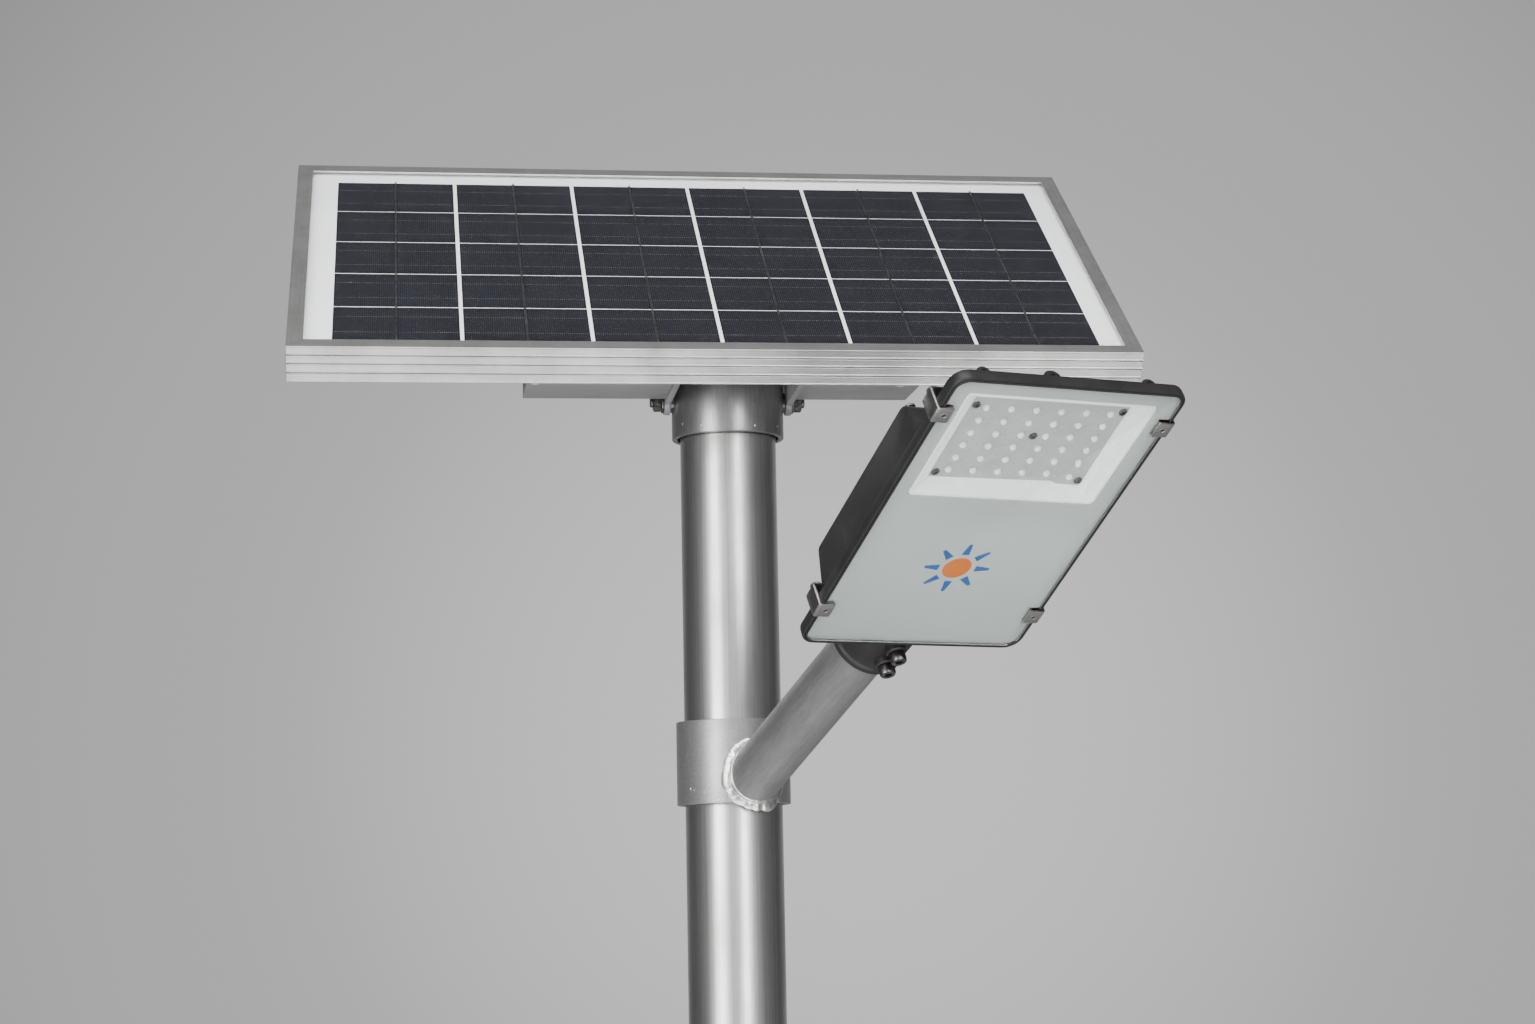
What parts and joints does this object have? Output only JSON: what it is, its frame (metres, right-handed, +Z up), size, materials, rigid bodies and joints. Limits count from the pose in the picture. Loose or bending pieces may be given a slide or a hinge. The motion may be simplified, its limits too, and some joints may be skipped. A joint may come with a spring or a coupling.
{
  "type": "solar street lamp",
  "caption": "Tubular pole with a tilting solar panel on a swivelling socket and a lamp head on a welded side arm.",
  "frame": {"origin": "on the pole's axis, at the underside of the base plate, in the middle of the anchor holes", "axes": "+Z up the pole; -Y towards the side that the panel faces and the lamp lights; +X to the right seen from that side"},
  "size_m": [0.65, 0.6778, 2.2777],
  "materials": {
    "galvanised": "brushed galvanised",
    "sleeve_paint": "aluminium paint, satin",
    "base_steel": "galvanised, matt",
    "weld": "raw bead",
    "zinc_bolt": "zinc plated",
    "die_cast": "black powder coat",
    "gasket": "matt",
    "front_glass": "toughened, clear",
    "white_sheet": "white powder coat",
    "lens": "moulded, clear",
    "led": "phosphor",
    "board_white": "white solder mask",
    "stainless": "stainless",
    "cell_wrap": "shrink wrap",
    "black_plastic": "moulded",
    "board_green": "solder mask",
    "bracket": "grey paint",
    "frame_alu": "anodised",
    "panel_glass": "tempered",
    "silicon": "coated silicon",
    "ribbon": "tinned",
    "back_sheet": "white film"
  },
  "bodies": {
    "pole": {"base_plate": "base_steel", "base_gussets": "base_steel", "pole_tube": "galvanised"},
    "arm": {"collar_sleeve": "sleeve_paint", "arm_tube": "sleeve_paint", "arm_weld": "weld", "collar_screws": "zinc_bolt"},
    "lamp_head": {"head_housing": "die_cast", "neck_bolts": "zinc_bolt", "glass_gasket": "gasket", "front_glass": "front_glass", "reflector": "white_sheet", "lens_plate": "lens", "led_chips": "led", "led_board": "board_white", "board_screws": "zinc_bolt", "glass_clip_1": "stainless", "glass_clip_2": "stainless", "glass_clip_3": "stainless", "glass_clip_4": "stainless", "clip_screws": "stainless", "battery_box": "die_cast", "box_seal": "gasket", "box_screws": "zinc_bolt", "battery_cells": "cell_wrap", "cell_cradle": "black_plastic", "control_board": "board_green", "control_parts": "black_plastic", "control_screws": "stainless", "cable_gland": "black_plastic"},
    "socket": {"panel_socket": "sleeve_paint", "socket_cap": "sleeve_paint", "socket_screws": "zinc_bolt", "hinge_studs": "zinc_bolt", "hinge_nuts": "zinc_bolt"},
    "panel": {"tilt_yoke": "bracket", "wing_left": "bracket", "wing_right": "bracket", "strap_left": "bracket", "strap_right": "bracket", "strap_bolts": "stainless", "frame_front": "frame_alu", "frame_back": "frame_alu", "frame_left": "frame_alu", "frame_right": "frame_alu", "corner_keys": "frame_alu", "panel_glass": "panel_glass", "solar_cells": "silicon", "cell_ribbons": "ribbon", "back_sheet": "back_sheet", "junction_box": "black_plastic", "junction_lid": "black_plastic"}
  },
  "joints": [
    {"name": "arm_swivel", "type": "hinge", "parent": "pole", "child": "arm", "pos_m": [0, 0, 1.73], "axis": [0, 0, 1], "range_deg": [-90, 90]},
    {"name": "head_roll", "type": "hinge", "parent": "arm", "child": "lamp_head", "pos_m": [0, 0, 1.733], "axis": [0.284, -0.8637, 0.4163], "range_deg": [-30, 30]},
    {"name": "panel_swivel", "type": "hinge", "parent": "pole", "child": "socket", "pos_m": [0, 0, 2.0493], "axis": [0, 0, 1], "range_deg": [-90, 90]},
    {"name": "panel_tilt", "type": "hinge", "parent": "socket", "child": "panel", "pos_m": [0, 0, 2.0493], "axis": [1, 0, 0], "range_deg": [-32, 22]}
  ]
}
